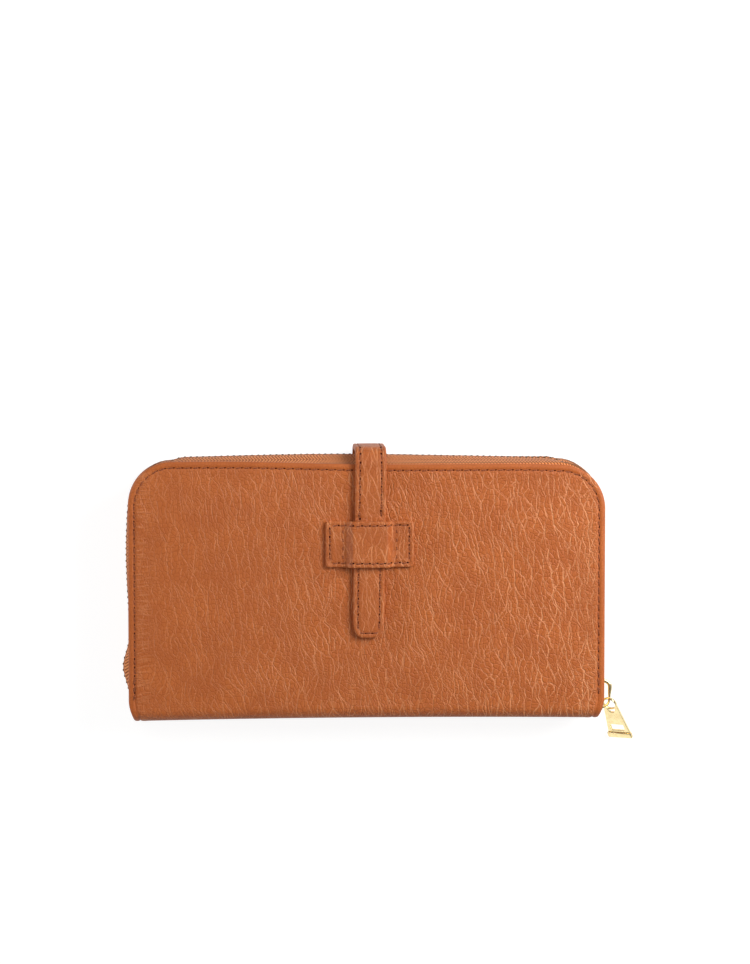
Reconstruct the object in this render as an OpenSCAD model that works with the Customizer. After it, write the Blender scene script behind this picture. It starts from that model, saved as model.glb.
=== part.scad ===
// Zip around wallet, closed and lying on its back cover.
// +X runs along its length, +Y from the spine to the zip, +Z from the back cover to the front cover.
// The origin is on the outer face of the back cover.

/* [Case] */
// Length of the case, along X
case_length = 195; // [190:1:205]
// Height of a cover, from the spine's outer face to its top edge, along Y
cover_height = 105.3; // [104:0.1:110]
// Thickness of the closed case, along Z
case_depth = 25; // [25:0.1:26]
// Distance from the origin to the spine's outer face
spine_reach = 54.5; // [53:0.1:55]
// Radius of the covers' two top corners
corner_radius = 18; // [14:0.5:19]
// Outer radius of each fold beside the spine
fold_radius = 5; // [4:0.5:6]

/* [Layers] */
// Thickness of the outer leather
leather = 1.2; // [1.1:0.05:1.3]
// Thickness of the edge that is turned over inside a cover
turned_edge = 0.6; // [0.5:0.05:0.7]
// Thickness of the zip's tape
tape = 0.6; // [0.5:0.05:0.6]
// Thickness of a lining
lining = 0.6; // [0.4:0.05:0.6]
// Thickness of one card pocket
card_leather = 0.4; // [0.3:0.05:0.4]

/* [Main zip] */
// Distance from the middle of the case to the zip's tape, along X
zip_half = 95.9; // [95.5:0.1:96]
// Height of the zip's tape above the origin, along Y
zip_top = 51.8; // [51.5:0.1:52]
// Distance from one tooth to the next
tooth_pitch = 2.5; // [2.4:0.1:3]
// Length of the slider's body
slider_length = 12.6; // [11:0.1:12.6]
// Length of the pull, from the middle of its eye to its tip
pull_length = 18.5; // [15:0.1:18.6]

/* [Strap and keeper] */
// Width of the strap
strap_width = 12.7; // [10:0.1:13]
// Height of the strap's tip above the origin, along Y
strap_tip = -20.2; // [-25:0.1:-10]
// Distance of the strap's middle from the middle of the case
strap_x = 0.9; // [-2:0.1:2]
// Width of the keeper, across the strap
keeper_width = 36; // [34:0.5:40]
// Height of the keeper, along the strap
keeper_height = 19; // [14:0.5:22]
// Height of the keeper's middle above the origin, along Y
keeper_y = 18.3; // [15:0.1:22]

/* [Coin pocket] */
// Distance from the middle of the case to the end of the coin pocket
pocket_half = 86; // [80:0.5:86]
// Height of the coin pocket's zip above the origin, along Y
pocket_top = 33; // [28:0.5:34]
// Thickness of the coin pocket, along Z
pocket_depth = 6.2; // [6:0.1:6.2]

/* [Hidden] */
$fn = 48;
SMALL = 0.01;
mid_z = case_depth / 2;
half_length = case_length / 2;
y_spine = -spine_reach;
y_fold = y_spine + fold_radius;
y_top = y_spine + cover_height;

// the cover's layers, each counted up from the cover's outer face
z_edge = leather + turned_edge;
z_tape = z_edge + tape;
z_lined = z_tape + lining;
hem_width = 7;
board_inset = 8.2;
stitch_inset = 2.6;
groove_width = 0.9;
groove_depth = 0.45;
stitch_pitch = 3.5;
stitch_length = 2.5;
stitch_width = 0.6;
stitch_depth = 0.4;

// card pockets
card_half = 79;
card_low = -42;
card_tops = [34, 25, 16, 7];

// main zip
tape_low = -49;
tape_flange = 6.5;
tape_gap = 1.4;
tooth_length = 1.2;
tooth_thick = 1.6;
tooth_near = 0.45;
tooth_far = 2.8;
teeth_low_left = -46;
teeth_low_right = -38.2;
channel = 2.0;
slider_plate = 0.8;
slider_half_width = 4.2;
slider_flange = 3.0;
slider_slot = 0.9;
slider_y = -45.9;
post_half = 0.35;
bar_x = zip_half + channel / 2 + slider_plate + 3.2;
bar_radius = 0.55;
bridge_half = 5.6;

// the pull hangs from the bridge's lower end, dropped towards the table and rolled to its left
pull_pitch = 34.5;
pull_roll = -33.5;
pull_turn = 0.6;
eye_y = slider_y - 3.6;
eye_outer = 3.1;
eye_inner = 2.5;
eye_offset = 0.5;
pull_width = 11;

// the folded parts at the ends of the bill compartments
gusset_outer_x = 86;
gusset_inner_x = 80;
gusset_thick = 0.4;
gusset_low = -45;
gusset_high = 33;
GAP = 0.05;

// strap: a flat tongue, an arch round the zip and a thin root in the back cover's top seam
strap_layer = 1.2;
strap_z = case_depth + 0.1 + strap_layer;
arch_y = y_top + 5.9;
arch_top_radius = 5.8;
arch_low_radius = 4.2;
arch_low_z = 1.5 + arch_low_radius;
root_y = 44;
root_skive = 0.3;
tip_chamfer = 3.2;

// keeper
keeper_layer = 1;
keeper_rise = 2.9;
keeper_inner_half = 7;
keeper_foot_half = 8;

// coin pocket
pocket_wall = 0.8;
pocket_low = -46;
coin_tape = 0.4;
coin_flange = 6;
coin_pitch = 2.2;
coin_slider_x = 74;
coin_slider_length = 8;
coin_pull_length = 12;
coin_bar_y = pocket_top + 4.2;
coin_bridge_half = 3.1;
coin_pull_drop = 25;
coin_pull_turn = 21.5;
coin_eye_outer = 2.4;
coin_eye_inner = 1.9;
z_pocket = mid_z - pocket_depth / 2;

// ---- shared shapes ----

// turns a part of the back cover into the same part of the front cover
module to_front() {
    translate([0, 0, case_depth]) mirror([0, 0, 1]) children();
}

// plate with two rounded top corners and an open, square bottom
module arched_plate(half, low, top, radius) {
    translate([-half, low]) square([2 * half, top - radius - low]);
    translate([radius - half, low]) square([2 * (half - radius), top - low]);
    for (side = [-1, 1])
        translate([side * (half - radius), top - radius]) circle(radius);
}

module cover_outline(inset, low) {
    arched_plate(half_length - inset, low, y_top - inset, corner_radius - inset);
}

module zip_outline(inset, low) {
    arched_plate(zip_half - inset, low, zip_top - inset, corner_radius - inset);
}

// band that follows the cover's edge round three sides, between two insets
module cover_band(from_inset, to_inset, low) {
    difference() {
        cover_outline(from_inset, low);
        cover_outline(to_inset, low - 1);
    }
}

module zip_band(from_inset, to_inset, low) {
    difference() {
        zip_outline(from_inset, low);
        zip_outline(to_inset, low - 1);
    }
}

// takes a shape drawn in Y and Z and runs it along X, centred
module along_x(length) {
    rotate([90, 0, 90]) linear_extrude(length, center = true) children();
}

// takes a shape drawn in X and Z and runs it along Y, centred
module along_y(length) {
    rotate([90, 0, 0]) linear_extrude(length, center = true) children();
}

// length of a path that goes up the left side, over the top and down the right side
function arch_length(half, low, top, radius) =
    2 * (top - radius - low) + PI * radius + 2 * (half - radius);

// place and heading, [x, y, angle], at a distance along that path
function arch_at(s, half, low, top, radius) =
    let (side = top - radius - low)
    let (corner = PI * radius / 2)
    let (across = 2 * (half - radius))
    let (turn_a = (s - side) / radius * 180 / PI)
    let (turn_b = (s - side - corner - across) / radius * 180 / PI)
    s < side ? [-half, low + s, 90]
    : s < side + corner
        ? [radius - half - radius * cos(turn_a), top - radius + radius * sin(turn_a), 90 - turn_a]
    : s < side + corner + across ? [radius - half + s - side - corner, top, 0]
    : s < side + 2 * corner + across
        ? [half - radius + radius * sin(turn_b), top - radius + radius * cos(turn_b), -turn_b]
    : [half, top - radius - (s - side - 2 * corner - across), -90];

// ---- covers ----

module cover_panel(root_notch) {
    difference() {
        union() {
            linear_extrude(leather) cover_outline(0, y_fold);
            difference() {
                translate([0, 0, leather]) linear_extrude(turned_edge) cover_band(0, hem_width, y_fold);
                if (root_notch)
                    translate([strap_x - strap_width / 2 - 0.3, root_y - 1, leather])
                        cube([strap_width + 0.6, 20, turned_edge + 1]);
            }
            fold_half();
        }
        translate([0, 0, -1]) linear_extrude(groove_depth + 1)
            cover_band(stitch_inset - groove_width / 2, stitch_inset + groove_width / 2, y_fold - 1);
    }
}

// the half of a fold that stays with the cover: an eighth of a ring
module fold_half() {
    along_x(case_length) fold_sector(225, 270);
}

module fold_sector(from, to) {
    translate([y_fold, fold_radius]) intersection() {
        difference() {
            circle(fold_radius);
            circle(fold_radius - leather);
        }
        polygon([
            [0, 0],
            2 * fold_radius * [cos(from), sin(from)],
            2 * fold_radius * [cos(to), sin(to)]
        ]);
    }
}

module back_panel() {
    color("peru") cover_panel(true);
}

module front_panel() {
    color("peru") to_front() cover_panel(false);
}

module cover_stiffener() {
    translate([0, 0, leather]) linear_extrude(z_tape - leather)
        cover_outline(board_inset, y_fold + 1);
}

module back_stiffener() {
    color("gray") cover_stiffener();
}

module front_stiffener() {
    color("gray") to_front() cover_stiffener();
}

module cover_lining() {
    translate([0, 0, z_tape]) linear_extrude(lining) zip_outline(0.5, y_fold + 0.5);
}

module back_lining() {
    color("saddlebrown") cover_lining();
}

module front_lining() {
    color("saddlebrown") to_front() cover_lining();
}

module cover_stitching() {
    inset = stitch_inset;
    half = half_length - inset;
    top = y_top - inset;
    radius = corner_radius - inset;
    count = floor(arch_length(half, y_fold, top, radius) / stitch_pitch);
    for (i = [0:count - 1]) {
        at = arch_at((i + 0.5) * stitch_pitch, half, y_fold, top, radius);
        translate([at[0], at[1], groove_depth - stitch_depth / 2]) rotate([0, 0, at[2]])
            cube([stitch_length, stitch_width, stitch_depth], center = true);
    }
}

module back_stitching() {
    color("sienna") cover_stitching();
}

module front_stitching() {
    color("sienna") to_front() cover_stitching();
}

// ---- card pockets ----

module card_layer(layer, top) {
    translate([-card_half, card_low, z_lined + layer * card_leather])
        cube([2 * card_half, top - card_low, card_leather]);
}

module back_card_backing() {
    color("tan") card_layer(0, card_tops[0] + 6);
}

module front_card_backing() {
    color("tan") to_front() card_layer(0, card_tops[0] + 6);
}

module card_pocket(number) {
    color("burlywood") card_layer(number, card_tops[number - 1]);
}

module back_card_pocket(number) {
    card_pocket(number);
}

module front_card_pocket(number) {
    to_front() card_pocket(number);
}

// ---- main zip ----

// tape: a flat flange between the turned edge and the lining, and a wall up to the teeth
module zip_tape() {
    translate([0, 0, z_edge]) linear_extrude(tape) zip_band(-tape / 2, tape_flange, tape_low);
    translate([0, 0, z_tape]) linear_extrude(mid_z - tape_gap - z_tape)
        zip_band(-tape / 2, tape / 2, tape_low);
}

module back_zip_tape() {
    color("chocolate") zip_tape();
}

module front_zip_tape() {
    color("chocolate") to_front() zip_tape();
}

module zip_teeth(phase) {
    total = arch_length(zip_half, teeth_low_left, zip_top, corner_radius);
    used = total - (teeth_low_right - teeth_low_left);
    count = floor((used - phase * tooth_pitch) / tooth_pitch);
    for (i = [0:count - 1]) {
        at = arch_at((i + phase) * tooth_pitch + tooth_length / 2,
            zip_half, teeth_low_left, zip_top, corner_radius);
        translate([at[0], at[1], mid_z - (tooth_far + tooth_near) / 2]) rotate([0, 0, at[2]])
            cube([tooth_length, tooth_thick, tooth_far - tooth_near], center = true);
    }
}

module back_zip_teeth() {
    color("goldenrod") zip_teeth(0);
}

module front_zip_teeth() {
    color("goldenrod") to_front() zip_teeth(0.5);
}

// block that holds both rows together at the zip's left end
module zip_bottom_stop() {
    color("goldenrod") translate([-zip_half - tooth_thick / 2, tape_low, mid_z - 2])
        cube([tooth_thick, 1.6, 3.2]);
}

module zip_slider_body() {
    plate_x = channel / 2 + slider_plate / 2;
    color("gold") translate([zip_half, slider_y, mid_z]) {
        for (side = [-1, 1]) {
            translate([side * plate_x, 0, 0])
                cube([slider_plate, slider_length, 2 * slider_half_width], center = true);
            for (edge = [-1, 1]) {
                rim = channel / 2 - slider_slot / 2;
                translate([
                    side * (channel / 2 - rim / 2 + SMALL / 2), 0,
                    edge * (slider_half_width + slider_flange) / 2
                ])
                    cube([rim + SMALL, slider_length, slider_half_width - slider_flange],
                        center = true);
            }
        }
        translate([0, slider_length / 4, 0])
            cube([channel + SMALL, slider_length / 4, 2 * post_half], center = true);
    }
}

// wire bridge on the slider's outer plate
module bridge(half, height, radius) {
    for (end = [-1, 1]) {
        translate([0, end * half, 0]) rotate([0, 90, 0]) cylinder(h = height, r = radius);
        translate([height, end * half, 0]) sphere(radius);
    }
    translate([height, -half, 0]) rotate([-90, 0, 0]) cylinder(h = 2 * half, r = radius);
}

module zip_slider_bridge() {
    foot = zip_half + channel / 2 + slider_plate;
    color("gold") translate([foot, slider_y, mid_z])
        bridge(bridge_half, bar_x - foot, bar_radius);
}

// flat pull with a round eye, drawn with its eye at the origin and its tip at -Y. The eye's rim is a little thicker
module pull_blank(length, eye_outer_r, eye_inner_r, width, thick) {
    difference() {
        union() {
            cylinder(h = thick + 0.2, r = eye_outer_r, center = true);
            linear_extrude(thick, center = true) polygon([
                [-eye_outer_r, -eye_outer_r / 2], [eye_outer_r, -eye_outer_r / 2],
                [width / 2, -length], [-width / 2, -length]
            ]);
        }
        cylinder(h = 3, r = eye_inner_r, center = true);
    }
}

module zip_pull_tab() {
    window = [6, 3.2];
    color("gold") translate([bar_x, eye_y, mid_z])
        rotate([pull_pitch, pull_roll, pull_turn]) translate([0, -eye_offset, 0])
            difference() {
                union() {
                    pull_blank(pull_length, eye_outer, eye_inner, pull_width, 0.8);
                    translate([-pull_width / 2, -pull_length, -0.4]) cube([pull_width, 2.8, 1.5]);
                }
                translate([-window[0] / 2, 3.8 - pull_length, -2])
                    cube([window[0], window[1], 4]);
            }
}

// ---- spine ----

module spine_panel() {
    color("peru") {
        translate([-half_length, y_spine, fold_radius])
            cube([case_length, leather, case_depth - 2 * fold_radius]);
        along_x(case_length) fold_sector(180, 225);
        to_front() along_x(case_length) fold_sector(180, 225);
    }
}

module spine_lining() {
    color("saddlebrown") translate([-pocket_half, y_spine + leather, fold_radius])
        cube([2 * pocket_half, lining, case_depth - 2 * fold_radius]);
}

// ---- coin pocket ----

// one wall of the coin pocket, with half of its two ends and of its bottom
module pocket_tray() {
    depth = pocket_depth / 2;
    translate([-pocket_half, pocket_low, z_pocket]) {
        cube([2 * pocket_half, pocket_top - pocket_low, pocket_wall]);
        cube([2 * pocket_half, pocket_wall, depth]);
        for (end = [0, 2 * pocket_half - pocket_wall])
            translate([end, 0, 0]) cube([pocket_wall, pocket_top - pocket_low, depth]);
    }
}

module coin_pocket_back_wall() {
    color("tan") pocket_tray();
}

module coin_pocket_front_wall() {
    color("tan") to_front() pocket_tray();
}

module coin_zip_tape() {
    half = pocket_half - pocket_wall - 1;
    inner = z_pocket + pocket_wall;
    translate([-half, pocket_top - coin_flange, inner])
        cube([2 * half, coin_flange, coin_tape]);
    translate([-half, pocket_top - coin_tape, inner])
        cube([2 * half, coin_tape, mid_z - 0.9 - inner]);
}

module coin_zip_back_tape() {
    color("chocolate") coin_zip_tape();
}

module coin_zip_front_tape() {
    color("chocolate") to_front() coin_zip_tape();
}

module coin_zip_teeth(phase) {
    count = floor((coin_slider_x - 5 + pocket_half - 8) / coin_pitch);
    for (i = [0:count - 1])
        translate([8 - pocket_half + (i + phase) * coin_pitch, pocket_top - coin_tape / 2, mid_z - 0.95])
            cube([1, 1.2, 1.1], center = true);
}

module coin_zip_back_teeth() {
    color("goldenrod") coin_zip_teeth(0);
}

module coin_zip_front_teeth() {
    color("goldenrod") to_front() coin_zip_teeth(0.5);
}

module coin_zip_end_stops() {
    color("goldenrod") for (x = [6 - pocket_half, coin_slider_x + 6])
        translate([x, pocket_top - coin_tape / 2, mid_z]) cube([1.4, 1.4, 3], center = true);
}

module coin_slider_body() {
    color("gold") translate([coin_slider_x, pocket_top - coin_tape / 2, mid_z]) {
        translate([0, 1.1, 0]) cube([coin_slider_length, 0.6, 5.4], center = true);
        translate([0, -1.1, 0]) cube([coin_slider_length, 0.6, 3.2], center = true);
        translate([-2, 0, 0]) cube([2.4, 1.6 + SMALL, 0.5], center = true);
    }
}

module coin_slider_bridge() {
    foot = pocket_top - coin_tape / 2 + 1.4;
    color("gold") translate([coin_slider_x, foot, mid_z]) rotate([0, 0, 90])
        bridge(coin_bridge_half, coin_bar_y - foot, 0.4);
}

// hangs from the bridge's bar, turned along the zip
module coin_pull_tab() {
    color("gold") translate([coin_slider_x, coin_bar_y, mid_z])
        rotate([0, 0, -90 - coin_pull_turn]) rotate([coin_pull_drop, 0, 0])
            pull_blank(coin_pull_length, coin_eye_outer, coin_eye_inner, 5.2, 0.6);
}

// ---- gussets ----

// side: -1 left, 1 right. A sheet folded once, inwards, between a cover and the coin pocket
module gusset(side) {
    low_z = z_lined + GAP;
    high_z = z_pocket - GAP;
    half_z = (low_z + high_z) / 2;
    wide = 3 * gusset_thick;
    color("sandybrown") translate([0, (gusset_low + gusset_high) / 2, 0])
        along_y(gusset_high - gusset_low) polygon([
            [side * gusset_outer_x, low_z],
            [side * gusset_inner_x, half_z],
            [side * gusset_outer_x, high_z],
            [side * (gusset_outer_x - wide), high_z],
            [side * (gusset_inner_x - wide), half_z],
            [side * (gusset_outer_x - wide), low_z]
        ]);
}

module back_gusset(side) {
    gusset(side);
}

module front_gusset(side) {
    to_front() gusset(side);
}

// ---- strap ----

function arc_points(centre, radius, from, to, steps = 12) = [
    for (i = [0:steps])
        let (angle = from + (to - from) * i / steps)
        centre + radius * [cos(angle), sin(angle)]
];

// side view of one layer of the strap, between two distances from its middle line
module strap_profile(inner, outer) {
    low = [arch_y - arch_low_radius, arch_low_z];
    high = [arch_y - arch_top_radius, strap_z - arch_top_radius];
    polygon(concat(
        arc_points(low, arch_low_radius + outer, -90, 0),
        arc_points(high, arch_top_radius + outer, 0, 90),
        [[strap_tip, strap_z + outer], [strap_tip, strap_z + inner]],
        arc_points(high, arch_top_radius + inner, 90, 0),
        arc_points(low, arch_low_radius + inner, 0, -90)
    ));
}

module strap_part(inner, outer, root_from) {
    difference() {
        translate([strap_x, 0, 0]) along_x(strap_width) {
            strap_profile(inner, outer);
            translate([root_y, root_from]) square([arch_y - arch_low_radius - root_y + SMALL, root_skive]);
        }
        for (side = [-1, 1])
            translate([strap_x + side * strap_width / 2, strap_tip, case_depth])
                rotate([0, 0, 45])
                    cube([tip_chamfer, tip_chamfer, 20], center = true);
    }
}

module strap_outer() {
    color("peru") strap_part(0, strap_layer, leather);
}

module strap_lining() {
    color("sienna") strap_part(-strap_layer, 0, leather + root_skive);
}

module strap_stitching() {
    from = strap_tip + 3.5;
    count = floor((arch_y - arch_top_radius - from) / stitch_pitch);
    color("sienna") for (side = [-1, 1])
        for (i = [0:count - 1])
            translate([
                strap_x + side * (strap_width / 2 - 1.9),
                from + i * stitch_pitch,
                strap_z + strap_layer + 0.1
            ])
                cube([stitch_width, stitch_length, 0.2], center = true);
}

// ---- keeper ----

// end view of one layer of the keeper: two feet and a raised middle that the strap passes under
module keeper_profile(low, high) {
    half = keeper_width / 2;
    top = case_depth + keeper_rise;
    polygon([
        [-half, case_depth + low],
        [-keeper_foot_half - low, case_depth + low],
        [-keeper_inner_half - low, top + low],
        [keeper_inner_half + low, top + low],
        [keeper_foot_half + low, case_depth + low],
        [half, case_depth + low],
        [half, case_depth + high],
        [keeper_foot_half + high, case_depth + high],
        [keeper_inner_half + high, top + high],
        [-keeper_inner_half - high, top + high],
        [-keeper_foot_half - high, case_depth + high],
        [-half, case_depth + high]
    ]);
}

module keeper_part(low, high) {
    translate([strap_x, keeper_y, 0]) along_y(keeper_height)
        keeper_profile(low, high);
}

module keeper_outer() {
    color("peru") keeper_part(keeper_layer, 2 * keeper_layer);
}

module keeper_lining() {
    color("sienna") keeper_part(0, keeper_layer);
}

// a box of stitches on each foot
module keeper_stitching() {
    foot_from = keeper_foot_half + 2 * keeper_layer + 1.4;
    foot_to = keeper_width / 2 - 1.4;
    reach = keeper_height / 2 - 1.4;
    rows = floor((2 * reach - 2) / 3.3);
    z = case_depth + 2 * keeper_layer + 0.1;
    color("sienna") for (side = [-1, 1]) {
        for (x = [foot_from, foot_to])
            for (i = [0:rows - 1])
                translate([strap_x + side * x, keeper_y + (i - (rows - 1) / 2) * 3.3, z])
                    cube([stitch_width, 2.3, 0.2], center = true);
        for (y = [-reach, reach])
            for (i = [-0.5, 0.5])
                translate([
                    strap_x + side * ((foot_from + foot_to) / 2 + i * 3),
                    keeper_y + y, z
                ])
                    cube([2.2, stitch_width, 0.2], center = true);
    }
}

// ---- nodes ----

back_panel();
back_stiffener();
back_lining();
back_card_backing();
back_card_pocket(1);  // back_card_pocket_1
back_card_pocket(2);  // back_card_pocket_2
back_card_pocket(3);  // back_card_pocket_3
back_card_pocket(4);  // back_card_pocket_4
back_stitching();
back_zip_tape();
back_zip_teeth();
zip_bottom_stop();
spine_panel();
spine_lining();
coin_pocket_back_wall();
coin_pocket_front_wall();
coin_zip_back_tape();
coin_zip_front_tape();
coin_zip_back_teeth();
coin_zip_front_teeth();
coin_zip_end_stops();
back_gusset(-1);  // back_gusset_left
back_gusset(1);  // back_gusset_right
front_gusset(-1);  // front_gusset_left
front_gusset(1);  // front_gusset_right
front_panel();
front_stiffener();
front_lining();
front_card_backing();
front_card_pocket(1);  // front_card_pocket_1
front_card_pocket(2);  // front_card_pocket_2
front_card_pocket(3);  // front_card_pocket_3
front_card_pocket(4);  // front_card_pocket_4
front_stitching();
front_zip_tape();
front_zip_teeth();
keeper_outer();
keeper_lining();
keeper_stitching();
strap_outer();
strap_lining();
strap_stitching();
zip_slider_body();
zip_slider_bridge();
zip_pull_tab();
coin_slider_body();
coin_slider_bridge();
coin_pull_tab();
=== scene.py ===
# Zip around wallet: the visual model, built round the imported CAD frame.
# Lengths are in millimetres here. Shape.build turns them into the frame's metres.

import math
import random

import bmesh
import bpy
from mathutils import Matrix, Vector, noise


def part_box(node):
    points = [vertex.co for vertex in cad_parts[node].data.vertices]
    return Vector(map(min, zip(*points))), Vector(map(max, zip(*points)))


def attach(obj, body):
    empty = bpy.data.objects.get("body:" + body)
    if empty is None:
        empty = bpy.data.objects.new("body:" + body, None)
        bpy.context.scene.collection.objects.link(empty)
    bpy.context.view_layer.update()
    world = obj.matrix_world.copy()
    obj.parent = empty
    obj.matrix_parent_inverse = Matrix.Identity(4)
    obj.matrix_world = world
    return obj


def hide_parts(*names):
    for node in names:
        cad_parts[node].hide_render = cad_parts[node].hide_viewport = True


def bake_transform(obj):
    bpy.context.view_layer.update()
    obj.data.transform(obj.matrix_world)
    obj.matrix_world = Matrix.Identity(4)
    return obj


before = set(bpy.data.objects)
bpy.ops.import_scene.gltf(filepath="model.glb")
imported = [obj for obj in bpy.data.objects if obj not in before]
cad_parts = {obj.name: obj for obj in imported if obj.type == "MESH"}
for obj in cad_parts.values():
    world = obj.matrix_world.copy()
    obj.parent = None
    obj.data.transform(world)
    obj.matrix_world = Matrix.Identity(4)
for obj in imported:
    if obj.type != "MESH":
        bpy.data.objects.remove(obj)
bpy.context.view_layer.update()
MM = 0.001
X_WAY, Y_WAY, Z_WAY = Vector((1, 0, 0)), Vector((0, 1, 0)), Vector((0, 0, 1))
random.seed(7)


# ---- sizes ----


def box_mm(node):
    """Lowest and highest corner of a CAD node, in millimetres."""
    low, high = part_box(node)
    return low / MM, high / MM


panel_high = box_mm("front_panel")[1]
HALF = panel_high.x
TOP = panel_high.y
DEPTH = panel_high.z
MID = DEPTH / 2
SPINE = box_mm("spine_panel")[0].y
CORNER = 18.0
FOLD = 5.0
BEND = SPINE + FOLD
EDGE = 1.8
LINED = 3.0

# a cover's leather is measured from the middle of the spine, round the fold and up the cover
SPINE_RUN = MID - FOLD
FOLD_RUN = FOLD * math.pi / 2
FLAT_RUN = SPINE_RUN + FOLD_RUN
COVER_RUN = FLAT_RUN + TOP - BEND

SEAM_INSET = 2.6
STITCH_PITCH = 3.45
SPINE_BOW = 0.8

ZIP_HALF = 95.9
ZIP_TOP = 51.8
TOOTH_PITCH = 2.5
TEETH_LOW_LEFT = -46.0
TEETH_LOW_RIGHT = -38.2
TAPE_LOW = -49.0

strap_low, strap_high = box_mm("strap_outer")
STRAP_X = (strap_low.x + strap_high.x) / 2
STRAP_HALF = (strap_high.x - strap_low.x) / 2
STRAP_TIP = strap_low.y
STRAP_Z = strap_high.z - 1.2
keeper_low, keeper_high = box_mm("keeper_outer")
KEEPER_Y = (keeper_low.y + keeper_high.y) / 2
KEEPER_HALF_X = (keeper_high.x - keeper_low.x) / 2
KEEPER_HALF_Y = (keeper_high.y - keeper_low.y) / 2


def cover_of(side):
    """Name and body of the cover on a side: 1 for the front and -1 for the back."""
    return ("front", "front_cover") if side > 0 else ("back", "back_cover")


def smooth(t):
    t = min(max(t, 0.0), 1.0)
    return t * t * (3 - 2 * t)


def bell(value, middle, width):
    return math.exp(-(((value - middle) / width) ** 2))


def soft_noise(x, y, seed=0.0):
    """Smooth noise from about -1 to 1."""
    return noise.noise(Vector((x, y, seed)))


# ---- meshes ----


class Shape:
    """Vertices, faces and grain coordinates of one piece, in millimetres."""

    def __init__(self):
        self.points = []
        self.faces = []
        self.flat = []

    def add(self, point, flat=None):
        self.points.append(Vector(point))
        self.flat.append(Vector(flat if flat is not None else point))
        return len(self.points) - 1

    def strip(self, first, second, closed):
        """Faces between two rows of vertices of the same length."""
        count = len(first)
        for i in range(count if closed else count - 1):
            j = (i + 1) % count
            self.faces.append((first[i], first[j], second[j], second[i]))

    def loft(self, rings, caps=True, flats=None):
        """A tube through rings of points."""
        made = []
        for k, ring in enumerate(rings):
            made.append([self.add(p, flats[k][i] if flats else None) for i, p in enumerate(ring)])
        for first, second in zip(made, made[1:]):
            self.strip(first, second, True)
        if caps:
            self.faces.append(tuple(reversed(made[0])))
            self.faces.append(tuple(made[-1]))
        return made

    def append(self, mesh, matrix):
        """Takes in a Blender mesh that is in millimetres."""
        start = len(self.points)
        for vertex in mesh.vertices:
            self.add(matrix @ vertex.co)
        for face in mesh.polygons:
            self.faces.append(tuple(start + i for i in face.vertices))

    def build(self, name, material, slot, sharp=None):
        mesh = bpy.data.meshes.new(name)
        mesh.from_pydata([p * MM for p in self.points], [], self.faces)
        values = [c for f in self.flat for c in f]
        mesh.attributes.new("flat", "FLOAT_VECTOR", "POINT").data.foreach_set("vector", values)
        work = bmesh.new()
        work.from_mesh(mesh)
        bmesh.ops.recalc_face_normals(work, faces=work.faces)
        work.to_mesh(mesh)
        work.free()
        mesh.polygons.foreach_set("use_smooth", [True] * len(mesh.polygons))
        if sharp:
            mesh.set_sharp_from_angle(angle=math.radians(sharp))
        mesh.update()
        piece = bpy.data.objects.new(name, mesh)
        piece.data.materials.append(material)
        bpy.context.collection.objects.link(piece)
        return piece

    def mount(self, name, material, slot, body, *nodes, sharp=None):
        """Builds a piece that rides on a body and stands for CAD nodes."""
        piece = self.build(name, material, slot, sharp)
        if nodes:
            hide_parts(*nodes)
        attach(piece, body)

    def bar(self, centre, axis, side, up, half_side, half_up, steps, power=4.0, count=12):
        """A closed bar along an axis. steps: (distance from the centre, size of the section)."""
        rings = []
        for reach, size in steps:
            here = centre + axis * reach
            rings.append(super_ring(here, side, up, half_side * size, half_up * size, power, count))
        self.loft(rings)


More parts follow.
